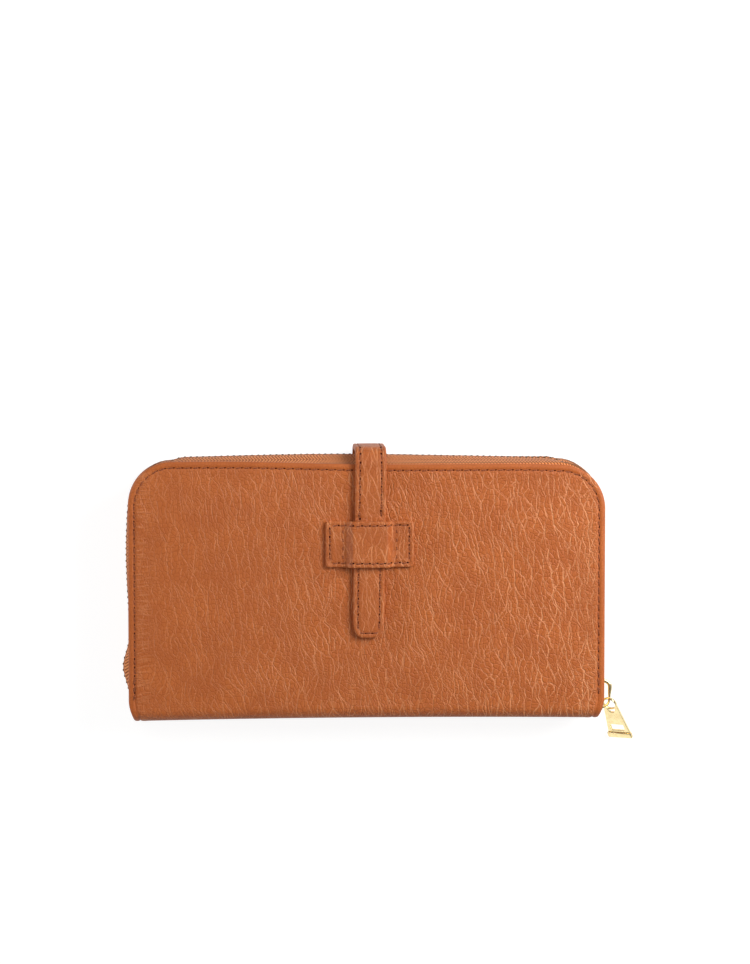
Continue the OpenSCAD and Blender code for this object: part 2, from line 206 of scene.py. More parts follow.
class Plate:
    """A sheet with rounded corners: rows across it, rings round its rim and a face on each side."""

    def __init__(self, half, low, high, corner_low, corner_high, cell, open_low=False):
        self.half, self.low, self.high = half, low, high
        self.corner_low, self.corner_high = corner_low, corner_high
        self.open_low = open_low
        low_steps = 0 if open_low else max(3, round(corner_low * 1.57 / cell[1]))
        high_steps = max(3, round(corner_high * 1.57 / cell[1]))
        middle = max(1, round((high - low - corner_low - corner_high) / cell[1]))
        quarter = math.pi / 2
        self.rows = [("low", quarter * (1 - i / low_steps)) for i in range(low_steps)]
        self.rows += [("side", i / middle) for i in range(middle + 1)]
        self.rows += [("high", quarter * (i + 1) / high_steps) for i in range(high_steps)]
        across = max(2, round(2 * half / cell[0]))
        self.columns = [2 * j / across - 1 for j in range(across + 1)]

    def row_at(self, row, inset):
        """Half the width and the height of a row, at an inset from the rim."""
        kind, t = row
        low_inset = 0 if self.open_low else inset
        low_r = 0 if self.open_low else max(self.corner_low - inset, 0.02)
        high_r = max(self.corner_high - inset, 0.02)
        wide = self.half - inset
        start = self.low + low_inset + low_r
        end = self.high - inset - high_r
        if kind == "low":
            return wide - low_r + low_r * math.cos(t), start - low_r * math.sin(t)
        if kind == "high":
            return wide - high_r + high_r * math.cos(t), end + high_r * math.sin(t)
        return wide, start + (end - start) * t

    def grid(self, shape, place, inset, depth):
        made = []
        for row in self.rows:
            wide, y = self.row_at(row, inset)
            spots = [(wide * c, y, depth) for c in self.columns]
            made.append([shape.add(place(*spot), spot) for spot in spots])
        return made

    def loop(self, grid):
        """A grid's border, up the left, along the top and down the right."""
        border = [row[0] for row in grid] + grid[-1][1:-1] + [row[-1] for row in reversed(grid)]
        return border if self.open_low else border + grid[0][-2:0:-1]

    def ring(self, shape, place, inset, depth):
        sides = [self.row_at(row, inset) for row in self.rows]
        spots = [(-wide, y) for wide, y in sides]
        spots += [(sides[-1][0] * c, sides[-1][1]) for c in self.columns[1:-1]]
        spots += [(wide, y) for wide, y in reversed(sides)]
        if not self.open_low:
            spots += [(sides[0][0] * c, sides[0][1]) for c in self.columns[-2:0:-1]]
        return [shape.add(place(x, y, depth), (x, y, depth)) for x, y in spots]

    def fill(self, shape, place, profile):
        """profile: (inset, depth) from the back face, over the rim, to the front face."""
        back = self.grid(shape, place, *profile[0])
        front = self.grid(shape, place, *profile[-1])
        rings = [self.ring(shape, place, *step) for step in profile[1:-1]]
        rings = [self.loop(back)] + rings + [self.loop(front)]
        for grid in (back, front):
            for first, second in zip(grid, grid[1:]):
                shape.strip(first, second, False)
        for first, second in zip(rings, rings[1:]):
            shape.strip(first, second, not self.open_low)
        if self.open_low:
            shape.strip(back[0], front[0], False)
            shape.faces.append(tuple(ring[0] for ring in rings))
            shape.faces.append(tuple(ring[-1] for ring in rings))


def rounded_rim(thick, round_by=None):
    """Profile of a plain rounded edge."""
    r = round_by or thick / 2
    curve = [(1.6 * r, 0.0), (0.75 * r, 0.06 * r), (0.2 * r, 0.45 * r)]
    return [(inset, thick - depth) for inset, depth in curve] + [(0.0, thick / 2)] + curve[::-1]


def super_ring(centre, side, up, half_side, half_up, power=4.0, count=12):
    """A rounded rectangle of points round a centre."""
    points = []
    for i in range(count):
        a = 2 * math.pi * (i + 0.5) / count
        c, s = math.cos(a), math.sin(a)
        u = math.copysign(abs(c) ** (2 / power), c) * half_side
        v = math.copysign(abs(s) ** (2 / power), s) * half_up
        points.append(centre + side * u + up * v)
    return points


def cut_plate(loops, thick, bevel):
    """Mesh of a flat plate with bevelled edges. loops of (x, y): its outline, then its holes."""
    curve = bpy.data.curves.new("cut", "CURVE")
    curve.dimensions = "2D"
    curve.fill_mode = "BOTH"
    curve.extrude = thick / 2 - bevel
    curve.bevel_depth = bevel
    curve.bevel_resolution = 3
    curve.offset = -bevel
    for loop in loops:
        spline = curve.splines.new("POLY")
        spline.points.add(len(loop) - 1)
        for point, (x, y) in zip(spline.points, loop):
            point.co = (x, y, 0, 1)
        spline.use_cyclic_u = True
    holder = bpy.data.objects.new("cut", curve)
    bpy.context.collection.objects.link(holder)
    bpy.context.view_layer.update()
    mesh = bpy.data.meshes.new_from_object(holder.evaluated_get(bpy.context.evaluated_depsgraph_get()))
    bpy.data.objects.remove(holder)
    bpy.data.curves.remove(curve)
    work = bmesh.new()
    work.from_mesh(mesh)
    bmesh.ops.remove_doubles(work, verts=work.verts, dist=1e-3)
    work.to_mesh(mesh)
    work.free()
    return mesh


def arc(x, y, radius, start, end, steps):
    """Points on an arc, with angles in degrees."""
    turns = [math.radians(start + (end - start) * i / steps) for i in range(steps + 1)]
    return [(x + radius * math.cos(a), y + radius * math.sin(a)) for a in turns]


def rounded_loop(corners, radius, steps=5):
    """A polygon whose corners are rounded."""
    made = []
    count = len(corners)
    for i, corner in enumerate(corners):
        here = Vector(corner)
        before = (Vector(corners[i - 1]) - here).normalized() * radius
        after = (Vector(corners[(i + 1) % count]) - here).normalized() * radius
        for k in range(steps + 1):
            t = k / steps
            p = here + before * (1 - t) ** 2 + after * t**2
            made.append((p.x, p.y))
    return made


# ---- materials ----


class Look:
    """A procedural material. Its textures read the grain coordinates, in millimetres."""

    def __init__(self, name, roughness=0.5, metallic=0.0, specular=0.5, sheen=0.0):
        self.material = bpy.data.materials.new(name)
        self.material.use_nodes = True
        self.tree = self.material.node_tree
        self.shader = self.tree.nodes["Principled BSDF"]
        names = ("Roughness", "Metallic", "Specular IOR Level", "Sheen Weight")
        for key, value in zip(names, (roughness, metallic, specular, sheen)):
            self.shader.inputs[key].default_value = value
        self.flat = self.node("ShaderNodeAttribute", attribute_name="flat").outputs["Vector"]

    def node(self, kind, inputs=None, **settings):
        made = self.tree.nodes.new(kind)
        for key, value in settings.items():
            setattr(made, key, value)
        for key, value in (inputs or {}).items():
            if isinstance(value, bpy.types.NodeSocket):
                self.tree.links.new(value, made.inputs[key])
            else:
                made.inputs[key].default_value = value
        return made

    def maths(self, operation, a, b=0.0, c=0.0):
        inputs = {0: a, 1: b, 2: c}
        return self.node("ShaderNodeMath", inputs, operation=operation).outputs[0]

    def times(self, a, b):
        return self.maths("MULTIPLY", a, b)

    def vector_maths(self, operation, a, b=(0.0, 0.0, 0.0), output=0):
        return self.node("ShaderNodeVectorMath", {0: a, 1: b}, operation=operation).outputs[output]

    def scaled(self, vector, x, y, z=1.0):
        return self.vector_maths("MULTIPLY", vector, (x, y, z))

    def parts(self, vector):
        return self.node("ShaderNodeSeparateXYZ", {0: vector}).outputs

    def noise(self, vector, scale, detail=2.0, rough=0.5, output="Fac"):
        inputs = {"Vector": vector, "Scale": scale, "Detail": detail, "Roughness": rough}
        return self.node("ShaderNodeTexNoise", inputs).outputs[output]

    def warped(self, vector, scale, amount):
        """The coordinates pushed about by noise, in millimetres."""
        push = self.noise(vector, scale, 1.0, output="Color")
        inputs = {0: push, 1: (amount, amount, 0.0), 2: (-amount / 2, -amount / 2, 0.0)}
        moved = self.node("ShaderNodeVectorMath", inputs, operation="MULTIPLY_ADD").outputs[0]
        return self.vector_maths("ADD", vector, moved)

    def voronoi(self, vector, feature, output):
        inputs = {"Vector": vector, "Scale": 1.0, "Randomness": 1.0}
        made = self.node("ShaderNodeTexVoronoi", inputs, feature=feature, voronoi_dimensions="2D")
        return made.outputs[output]

    def cells(self, vector):
        return self.voronoi(vector, "DISTANCE_TO_EDGE", "Distance")

    def upright_lines(self, vector, wide, tall, width):
        """Lines of one width round cells wide by tall millimetres, fading where they run across."""
        spot = self.scaled(vector, 1 / wide, 1 / tall)
        nearest = self.voronoi(spot, "F1", "Position")
        gap = self.vector_maths("SUBTRACT", self.voronoi(spot, "F2", "Position"), nearest)
        slope = self.scaled(gap, 1 / wide, 1 / tall, 0.0)
        steep = self.vector_maths("LENGTH", slope, output=1)
        stretch = self.maths("DIVIDE", self.vector_maths("LENGTH", gap, output=1), steep)
        distance = self.times(self.cells(spot), stretch)
        sideways = self.maths("ABSOLUTE", self.parts(slope)[0])
        upright = self.maths("POWER", self.maths("DIVIDE", sideways, steep), 2.0)
        return self.times(self.span(distance, 0.0, width, 1.0, 0.0), upright)

    def span(self, value, low, high, to_low=0.0, to_high=1.0):
        inputs = {"Value": value, "From Min": low, "From Max": high, "To Min": to_low, "To Max": to_high}
        return self.node("ShaderNodeMapRange", inputs, interpolation_type="SMOOTHSTEP").outputs["Result"]

    def mix(self, factor, a, b):
        return self.node("ShaderNodeMix", {"Factor": factor, 6: a, 7: b}, data_type="RGBA").outputs[2]

    def finish(self, colour, height=None, relief=0.0, rough=None):
        """Links the shader's colour, its bump of a relief in millimetres, and its roughness."""
        self.tree.links.new(colour, self.shader.inputs["Base Color"])
        if height:
            bump = self.node("ShaderNodeBump", {"Height": height, "Distance": relief * MM})
            self.tree.links.new(bump.outputs["Normal"], self.shader.inputs["Normal"])
        if rough:
            self.tree.links.new(rough, self.shader.inputs["Roughness"])
        return self.material


def linear(red, green, blue):
    """Linear colour from an 8 bit one."""
    parts = [((c / 255 + 0.055) / 1.055) ** 2.4 if c > 10 else c / 3294 for c in (red, green, blue)]
    return (*parts, 1.0)


def pebble_leather(name, base, deep, crease, relief, half=0.0, far=0.0):
    """Tumbled leather: upright pebbles parted by fine, pale, wavy lines that fade in and out. Their paleness
    is partly the grain's own colour and partly a painted highlight where the ridges catch the light.

    half and far are a cover's half width and far end. Its lines are fainter towards the left, they stop
    at the seam, and short wrinkles run in from the seam at both ends. Towards the right they are painted
    brighter, a painted highlight from the key light on that side.
    """
    look = Look(name, roughness=0.5, specular=0.35)
    near = look.warped(look.warped(look.flat, 0.05, 7.0), 0.30, 1.3)
    x, y = look.parts(near)[:2]
    leaning = look.maths("MULTIPLY_ADD", y, 0.28, x)
    tilted = look.node("ShaderNodeCombineXYZ", {0: leaning, 1: y}).outputs[0]
    pebbles = look.cells(look.scaled(near, 0.72, 0.56))
    fine = look.noise(look.flat, 2.0, 3.0, 0.6)
    streak = look.noise(look.scaled(look.flat, 0.40, 0.15), 1.0, 2.0)
    patch = look.noise(look.flat, 0.06, 3.0, 0.55)
    long_line = look.times(look.upright_lines(near, 2.7, 5.6, 0.34), look.span(streak, 0.36, 0.62, 0.15, 1.0))
    slant_line = look.upright_lines(tilted, 4.6, 13.0, 0.36)
    slant_line = look.times(slant_line, look.span(patch, 0.36, 0.60, 0.2, 1.0))
    crack = look.maths("MAXIMUM", long_line, slant_line)
    lines = look.times(crack, 0.66)
    gap = look.span(pebbles, 0.0, 0.2, 1.0, 0.0)
    height = look.maths("MULTIPLY_ADD", crack, -0.75, look.times(gap, -0.6))
    if half:
        across, up = look.parts(look.flat)[:2]
        beside = look.maths("SUBTRACT", half, look.maths("ABSOLUTE", across))
        beyond = look.maths("SUBTRACT", far, look.maths("ABSOLUTE", up))
        inside = look.span(look.maths("MINIMUM", beside, beyond), 2.6, 4.2)
        busy = look.times(look.span(across, -100.0, 20.0, 0.38, 1.0), inside)
        # painted highlight: the pale lines grow up to 1.6 times brighter towards the right, standing in for
        # the key light on that side
        painted_light_to_right = look.span(across, 30.0, 92.0, 1.0, 1.6)
        lines = look.times(look.times(lines, busy), painted_light_to_right)
        height = look.times(height, look.maths("MULTIPLY_ADD", busy, 0.8, 0.2))
        wrinkle = look.span(look.noise(look.scaled(near, 0.16, 1.3), 1.0, 2.0), 0.44, 0.66)
        wrinkle = look.times(wrinkle, look.times(inside, look.span(beside, 3.0, 15.0, 1.0, 0.0)))
        lines = look.maths("MAXIMUM", lines, look.times(wrinkle, 0.3))
        height = look.maths("MULTIPLY_ADD", wrinkle, 0.35, height)
    body = look.mix(look.span(patch, 0.3, 0.7, 0.4, 1.0), deep, base)
    # painted shade: the gaps between pebbles darken towards the deep tone; the fine noise adds a random
    # mottle of the leather's own
    gap_shade_and_mottle = look.maths("MAXIMUM", look.times(look.span(fine, 0.35, 0.7), 0.4), look.times(gap, 0.8))
    # the pale lines: partly the grain's own colour, partly a painted highlight on the ridges
    colour = look.mix(lines, look.mix(gap_shade_and_mottle, body, deep), crease)
    height = look.maths("MULTIPLY_ADD", fine, 0.25, height)
    return look.finish(colour, height, relief, look.span(fine, 0.2, 0.8, 0.42, 0.6))


def smooth_leather(name, base, deep):
    look = Look(name, roughness=0.5, specular=0.4)
    patch = look.noise(look.flat, 0.12, 3.0)
    grain = look.cells(look.scaled(look.warped(look.flat, 0.6, 0.8), 1.7, 1.3))
    fine = look.noise(look.flat, 3.0, 3.0)
    colour = look.mix(look.span(patch, 0.3, 0.7), deep, base)
    height = look.maths("MULTIPLY_ADD", fine, 0.4, look.span(grain, 0.0, 0.25))
    return look.finish(colour, height, 0.04, look.span(fine, 0.2, 0.8, 0.42, 0.58))


def woven(name, base, deep, pitch, slant=0.0, sheen=0.3):
    """Plain weave, or a herringbone tape where slant is the width of one of its columns."""
    look = Look(name, roughness=0.85, specular=0.2, sheen=sheen)
    along, across = look.parts(look.flat)[:2]
    turns = 2 * math.pi / pitch
    if slant:
        bend = look.maths("PINGPONG", across, slant)
        phase = look.maths("MULTIPLY_ADD", bend, 0.6, along)
        rib = look.maths("SINE", look.times(phase, turns))
        height = look.times(look.span(rib, -1.0, 1.0), look.span(bend, 0.0, 0.1 * slant))
    else:
        first = look.maths("SINE", look.times(along, turns))
        second = look.maths("SINE", look.times(across, turns))
        height = look.span(look.times(first, second), -1.0, 1.0)
    uneven = look.noise(look.flat, 0.5, 3.0)
    shade = look.maths("MULTIPLY_ADD", uneven, 0.5, look.times(height, 0.6))
    return look.finish(look.mix(look.span(shade, 0.15, 0.85), deep, base), height, 0.12)


def metal(name, base, deep, roughness, patina, relief=0.01):
    look = Look(name, roughness=roughness, metallic=1.0)
    cloud = look.noise(look.flat, 0.6, 3.0)
    fine = look.noise(look.scaled(look.flat, 1.0, 6.0, 1.0), 2.0, 3.0)
    colour = look.mix(look.span(cloud, 0.35, 0.75, 0.0, patina), base, deep)
    return look.finish(colour, fine, relief, look.span(fine, 0.2, 0.8, roughness * 0.8, roughness * 1.3))


def twisted_thread(name, base, deep):
    look = Look(name, roughness=0.7, specular=0.3, sheen=0.2)
    along, across = look.parts(look.flat)[:2]
    turns = look.maths("ADD", look.times(along, 9.0), look.times(across, 9.0))
    twist = look.span(look.maths("SINE", turns), -1.0, 1.0)
    return look.finish(look.mix(twist, deep, base), twist, 0.05)


# painted shade: a dark piece whose colour stands for the shade inside a needle hole
def painted_hole_shade(name, base, deep):
    look = Look(name, roughness=0.9, specular=0.1)
    return look.finish(look.mix(look.noise(look.flat, 1.0), deep, base))


def pressed_board():
    look = Look("pressed_board", roughness=0.9, specular=0.2)
    place = look.node("ShaderNodeTexCoord").outputs["Object"]
    speck = look.noise(place, 900.0, 3.0)
    colour = look.mix(look.span(speck, 0.3, 0.7), linear(120, 108, 92), linear(158, 146, 128))
    return look.finish(colour, speck, 0.05)


TAN = linear(190, 103, 46)
RUST = linear(166, 83, 33)
# PEACH, the pale lines' colour: partly the grain's own, partly a painted highlight on the ridges
PEACH = linear(222, 150, 102)
outer_leather = pebble_leather("outer_leather", TAN, RUST, PEACH, 0.25, HALF, COVER_RUN)
strap_leather = pebble_leather("strap_leather", linear(187, 102, 47), linear(160, 80, 33), PEACH, 0.12)
inner_leather = smooth_leather("inner_leather", linear(190, 116, 66), linear(172, 98, 52))
lining_cloth = woven("lining_cloth", linear(150, 98, 62), linear(118, 72, 44), 0.7)
gusset_cloth = woven("gusset_cloth", linear(158, 102, 66), linear(124, 76, 46), 0.6)
tape_cloth = woven("tape_cloth", linear(232, 148, 90), linear(140, 70, 32), 1.3, 2.6, 0.1)
coin_tape_cloth = woven("coin_tape_cloth", linear(168, 98, 56), linear(120, 62, 32), 0.8, 1.0)
tooth_metal = metal("tooth_metal", linear(104, 72, 44), linear(40, 25, 15), 0.36, 0.8)
gold = metal("gold", linear(250, 230, 178), linear(232, 200, 134), 0.17, 0.5, 0.004)
thread = twisted_thread("thread", linear(158, 84, 42), linear(118, 56, 26))
# painted shade for the inside of the needle holes
needle_hole_shade = painted_hole_shade("needle_hole_shade", linear(72, 26, 12), linear(46, 16, 8))
board = pressed_board()


# ---- outer leather ----


def cover_point(side, x, run, depth):
    """Place on a cover. side is 1 for the front and -1 for the back."""
    near_spine = 1 - smooth((run - SPINE_RUN) / (FOLD_RUN + 4))
    x *= 1 - 2.2 * near_spine / HALF
    bow = SPINE_BOW * (1 - (x / HALF) ** 2) * (1 - smooth((run - FLAT_RUN) / 30))
    if run < SPINE_RUN:
        y, up = SPINE + depth, run
    elif run < FLAT_RUN:
        angle = (run - SPINE_RUN) / FOLD
        y = BEND - (FOLD - depth) * math.cos(angle)
        up = SPINE_RUN + (FOLD - depth) * math.sin(angle)
    else:
        y, up = BEND + run - FLAT_RUN, MID - depth
    if side > 0:
        top_edge = 1.4 * smooth((10 - x) / 70) - 0.7 * smooth((x - 60) / 30)
        y += top_edge * smooth((run - FLAT_RUN) / (COVER_RUN - FLAT_RUN))
    return Vector((x, y + bow, MID + side * up))


def leather_relief(side, x, run):
    """How far the leather stands proud, with its gentle hollows and creases."""
    sweep = side * run
    y = BEND + run - FLAT_RUN
    rim = min(HALF - abs(x), TOP - y)
    free = smooth(rim / 6)
    clear = 1 - bell(x, STRAP_X, 9) if side > 0 else 1
    swell = 0.16 * soft_noise(x / 36, sweep / 30, 3.1) + 0.07 * soft_noise(x / 13, sweep / 19, 8.4)
    wander = x + 4 * soft_noise(x / 15, sweep / 22, 5.5)
    ridge = abs(soft_noise(wander / 7.5, sweep / 34, 1.7))
    crease = -0.14 * (1 - smooth(ridge / 0.10)) * smooth(0.5 + 2 * soft_noise(x / 40, sweep / 40, 9.2))
    flatness = smooth((run - FLAT_RUN + 2) / 12) if side > 0 else 0.35 * smooth((run - FLAT_RUN + 2) / 12)
    puff = 0.3 * smooth(rim / 26) * clear
    return (swell * (0.3 + 0.7 * clear) + crease + puff) * free * flatness


def skin(side):
    def place(x, run, depth):
        proud = leather_relief(side, x, run) if depth < EDGE / 2 else 0.0
        return cover_point(side, x, run, depth - proud)

    shape = Shape()
    plate = Plate(HALF, 0.0, COVER_RUN, 0.0, CORNER, (0.8, 0.75), open_low=True)
    profile = [
        (7.6, 1.2), (7.05, 1.22), (6.9, 1.66), (6.5, EDGE), (3.6, EDGE), (1.2, EDGE), (0.5, 1.7),
        (0.14, 1.36), (0.0, 0.92), (0.08, 0.52), (0.34, 0.18), (0.8, 0.01), (1.4, -0.07), (2.0, 0.0),
        (2.3, 0.14), (2.6, 0.24), (2.9, 0.14), (3.2, 0.0), (3.9, -0.12), (4.8, -0.12), (6.0, -0.06),
    ]
    plate.fill(shape, place, profile)
    if side < 0:
        for f in shape.flat:
            f.y = -f.y
    return shape


front_skin = skin(1).build("front_leather", outer_leather, "outer_leather")
back_skin = skin(-1).build("back_leather", outer_leather, "outer_leather")
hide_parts("front_panel", "spine_panel")
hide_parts("back_panel")
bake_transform(front_skin)
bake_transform(back_skin)


# ---- stitching ----

# a stitch from one end to the other: (place along it, size, depth that it sinks)
STITCH_STEPS = [(-1.0, 0.35, 0.42), (-0.82, 0.8, 0.2), (-0.4, 1.0, 0.03)]
STITCH_STEPS += [(-place, size, sink) for place, size, sink in reversed(STITCH_STEPS)]


def stitch(threads, holes, point, along, out, length=2.5, wide=0.62, slant=9.0, hole=True):
    """A thread that dips into the leather at both ends, and at its far end a dark piece that paints the shade
    inside its needle hole.
    """
    side = out.cross(along).normalized()
    turn = math.radians(slant)
    along = (along * math.cos(turn) + side * math.sin(turn)).normalized()
    side = out.cross(along).normalized()
    rings, flats = [], []
    for t, size, sink in STITCH_STEPS:
        centre = point + along * (t * length / 2) + out * (0.16 - sink)
        rings.append(super_ring(centre, side, out, wide / 2 * size, 0.24 * size, 2.0, 8))
        flats.append([(t * length / 2, 0.3 * math.sin(i * math.pi / 4), 0) for i in range(8)])
    threads.loft(rings, flats=flats)
    if hole:
        # a dark piece at the needle hole, painted shade inside it
        spot = point + along * (length / 2 + 0.28)
        holes.bar(spot, out, along, side, 0.52, 0.42, ((-0.25, 0.6), (0.03, 1.0), (0.07, 0.7)), 2.0, 8)


def seam(threads, holes, at, start, end, pitch=STITCH_PITCH, **sizes):
    """Stitches at equal steps. at(s) gives the point, the way along and the way out."""
    count = max(1, round((end - start) / pitch))
    step = (end - start) / count
    for i in range(count):
        point, along, out = at(start + (i + 0.5) * step)
        stitch(threads, holes, point, along, out, **sizes)


def sew_on(name, threads, holes, body, *nodes):
    """The pieces of a seam: its stitches, which stand for CAD nodes, and dark pieces that paint the shade
    inside its needle holes.
    """
    threads.mount(f"{name}_stitches", thread, "thread", body, *nodes)
    holes.mount(f"{name}_needle_holes", needle_hole_shade, "thread", body)


def u_length(half, low, top, radius):
    return 2 * (top - radius - low) + math.pi * radius + 2 * (half - radius)


def u_path(s, half, low, top, radius):
    """Point and heading on a path up the left, round two corners and down the right."""
    side = top - radius - low
    corner = math.pi * radius / 2
    across = 2 * (half - radius)
    if s < side:
        return -half, low + s, math.pi / 2
    s -= side
    if s < corner:
        a = s / radius
        return radius - half - radius * math.cos(a), top - radius + radius * math.sin(a), math.pi / 2 - a
    s -= corner
    if s < across:
        return radius - half + s, top, 0.0
    s -= across
    if s < corner:
        a = s / radius
        return half - radius + radius * math.sin(a), top - radius + radius * math.cos(a), -a
    s -= corner
    return half, top - radius - s, -math.pi / 2


SEAM_LINE = (HALF - SEAM_INSET, BEND, TOP - SEAM_INSET, CORNER - SEAM_INSET)
SEAM_LENGTH = u_length(*SEAM_LINE)


def cover_seam(side):
    def at(s):
        x, y, heading = u_path(s, *SEAM_LINE)
        run = FLAT_RUN + y - BEND
        point = cover_point(side, x, run, 0.2)
        along = Vector((math.cos(heading), math.sin(heading), 0))
        return point, along, Vector((0, 0, side))

    threads, holes = Shape(), Shape()
    left, right = 4.0, SEAM_LENGTH - 5.5
    seam(threads, holes, at, left, right)
    for end, way in ((left, 1), (right, -1)):
        for i in range(3):
            point, along, out = at(end + way * (1.2 + i * 3.2))
            shift = out.cross(along) * 0.4
            stitch(threads, holes, point + shift + out * 0.06, along, out, 2.6, 0.6, -6.0, hole=False)
    name, body = cover_of(side)
    sew_on(name, threads, holes, body, f"{name}_stitching")


cover_seam(1)
cover_seam(-1)


# ---- main zip ----

ZIP_LINE = (ZIP_HALF, TAPE_LOW, ZIP_TOP, CORNER)
ZIP_LENGTH = u_length(*ZIP_LINE)


def bulge(x, y):
    """How far the closed zip stands out past the leather: in two places on the left, and along the top."""
    left = 2.9 * bell(y, -33, 8) + 1.5 * bell(y, 14, 24)
    crown = 1.6 * bell(x, -15, 60) * smooth((y - ZIP_TOP + 6) / 5)
    tuck = 2.7 * smooth((abs(x) - 74) / 12) * smooth((y - 34) / 9)
    return crown - tuck + (left if x < 0 else 0.0) * (1 - smooth((y - 30) / 16))


def zip_lean(x):
    """Tilt of the chain of teeth: its front row stands further out, except on the slider's side."""
    return 0.14 * (1 - smooth((x - 45) / 30))


def zip_spot(s, out, z):
    """Point on the zip: s along it, out from its middle line, z above the back."""
    x, y, heading = u_path(s, *ZIP_LINE)
    outward = Vector((-math.sin(heading), math.cos(heading), 0))
    inside = min(z, DEPTH - z)
    reach = out + bulge(x, y) * smooth((inside - 2.6) / 6)
    reach += zip_lean(x) * (z - MID) * smooth((inside - 6) / 4)
    return Vector((x, y, 0)) + outward * reach + Vector((0, 0, z))


def zip_tape(side):
    """Tape from under the cover's edge up to the teeth, in a soft outward curve."""
    middle = [
        (-6.0, 2.1), (-3.0, 2.1), (-1.6, 2.12), (-1.0, 2.4), (-0.7, 3.1), (-0.45, 4.3), (-0.2, 5.8),
        (0.02, 7.6), (0.12, 9.4), (0.1, 10.6),
    ]
    half_thick = 0.26
    loop, runs = [], []
    for sign in (1, -1):
        line = middle if sign > 0 else middle[::-1]
        for i, (out, z) in enumerate(line):
            before, after = line[max(i - 1, 0)], line[min(i + 1, len(line) - 1)]
            way = (Vector(after) - Vector(before)).normalized()
            offset = Vector((way.y, -way.x)) * half_thick
            loop.append((out + offset.x, z + offset.y))
            runs.append(out + z)
    bead = [(0.2 + 0.5 * math.cos(a), 10.9 + 0.42 * math.sin(a)) for a in (i * math.pi / 4 for i in range(8))]
    shape = Shape()
    count = round(ZIP_LENGTH / 1.6)
    for outline, flat_runs in ((loop, runs), (bead, [12.0] * 8)):
        rings, flats = [], []
        for k in range(count + 1):
            s = ZIP_LENGTH * k / count
            wave = 0.10 * soft_noise(s / 9, side * 4.0)
            ring = []
            for out, z in outline:
                ring.append(zip_spot(s, out + wave * smooth((z - 2.6) / 4), z if side < 0 else DEPTH - z))
            rings.append(ring)
            flats.append([(s, run, 0) for run in flat_runs])
        shape.loft(rings, flats=flats)
    name, body = cover_of(side)
    shape.mount(f"{name}_tape", tape_cloth, "zip_tape", body, f"{name}_zip_tape")


zip_tape(1)
zip_tape(-1)

# a tooth from its feet to its head: (distance towards the other row, half along the zip, half through it)
TOOTH = [
    (-2.6, 0.30, 0.50), (-2.45, 0.47, 0.74), (-2.1, 0.52, 0.86), (-1.35, 0.52, 0.86), (-0.95, 0.44, 0.76),
    (-0.55, 0.36, 0.66), (-0.1, 0.42, 0.64), (0.28, 0.54, 0.66), (0.52, 0.5, 0.6), (0.68, 0.3, 0.42),
]


def tooth(shape, s, side):
    x, y, heading = u_path(s, ZIP_HALF, TEETH_LOW_LEFT, ZIP_TOP, CORNER)
    along = Vector((math.cos(heading), math.sin(heading), 0))
    outward = Vector((-along.y, along.x, 0))
    towards = (Vector((0, 0, -side)) - outward * (side * zip_lean(x))).normalized()
    base = Vector((x, y, MID)) + outward * (bulge(x, y) + 0.06 + 0.06 * soft_noise(s / 9, 2.0))
    lean = random.uniform(-0.03, 0.03)
    rings = []
    for rise, half_along, half_through in TOOTH:
        centre = base + towards * rise + along * lean * rise
        rings.append(super_ring(centre, along, outward, half_along, half_through, 3.2, 10))
    shape.loft(rings)


def teeth_row(side):
    total = u_length(ZIP_HALF, TEETH_LOW_LEFT, ZIP_TOP, CORNER) - (TEETH_LOW_RIGHT - TEETH_LOW_LEFT)
    phase = 0.5 if side > 0 else 0.0
    shape = Shape()
    for i in range(int((total - phase * TOOTH_PITCH) / TOOTH_PITCH)):
        tooth(shape, (i + phase) * TOOTH_PITCH + 0.6, side)
    name, body = cover_of(side)
    shape.mount(f"{name}_teeth", tooth_metal, "zip_metal", body, f"{name}_zip_teeth", sharp=40)


teeth_row(1)
teeth_row(-1)


# half of a stop, from its end inwards: (share of its half length, size)
STOP_STEPS = ((1.0, 0.62), (0.85, 0.9), (0.5, 1.0))
COIN_STOP_STEPS = ((1.0, 0.6), (0.85, 0.9), (0.5, 1.0))


def both_ways(half, steps):
    """Steps for a bar that is the same at both ends."""
    first = [(-share * half, size) for share, size in steps]
    return first + [(share * half, size) for share, size in reversed(steps)]


def bottom_stop():
    """A folded metal clip round both rows at the zip's left end."""
    low, high = box_mm("zip_bottom_stop")
    shape = Shape()
    shape.bar((low + high) / 2, Z_WAY, X_WAY, Y_WAY, 0.95, 1.15, both_ways(1.9, STOP_STEPS), count=16)
    shape.mount("bottom_stop", tooth_metal, "zip_metal", "back_cover", "zip_bottom_stop", sharp=45)


bottom_stop()


# ---- sliders and pulls ----


def shield(long, wide_nose, wide_tail, notch):
    """Outline of a slider's plate, nose upwards, with a shallow notch in the nose."""
    right = [(wide_nose, long * 0.35), (wide_nose * 0.92, long * 0.86), (wide_nose * 0.42, long)]
    left = [(-x, y) for x, y in reversed(right)]
    corners = [(-wide_tail, -long), (wide_tail, -long)] + right + [(0, long - notch)] + left
    return rounded_loop(corners, min(0.9, wide_tail * 0.3))


